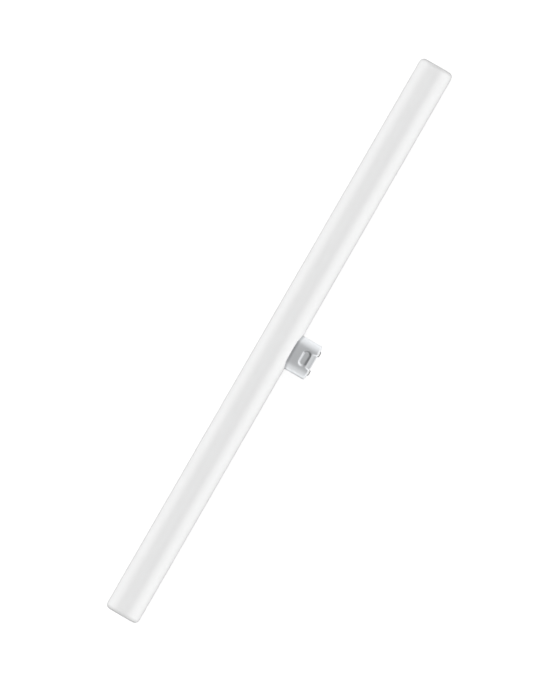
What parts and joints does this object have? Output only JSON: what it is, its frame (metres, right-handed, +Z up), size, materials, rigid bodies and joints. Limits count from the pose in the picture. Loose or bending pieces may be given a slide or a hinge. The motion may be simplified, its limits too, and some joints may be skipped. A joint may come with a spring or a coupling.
{
  "type": "tubular light bulb",
  "caption": "Straight opal tubular light bulb with closed rounded ends and a metal cap on its side, with latch pockets, lead-in ramps and flat contacts for a push-in holder.",
  "frame": {"origin": "on the table that the bulb lies on, under the middle of its bounding box", "axes": "+X along the tube, towards the end further from the cap; +Z up; the cap points towards -Y and dips 13.6 degrees below level until its edge rests on the table"},
  "size_m": [0.5, 0.0478, 0.029],
  "materials": {
    "opal_glass": "opal, satin",
    "shell_metal": "satin",
    "white_insulator": "moulded",
    "contact_metal": "nickel plated"
  },
  "bodies": {
    "root": {"opal_tube": "opal_glass", "cap_shell": "shell_metal", "contact_carrier": "white_insulator", "contact_left": "contact_metal", "contact_right": "contact_metal"}
  },
  "joints": []
}
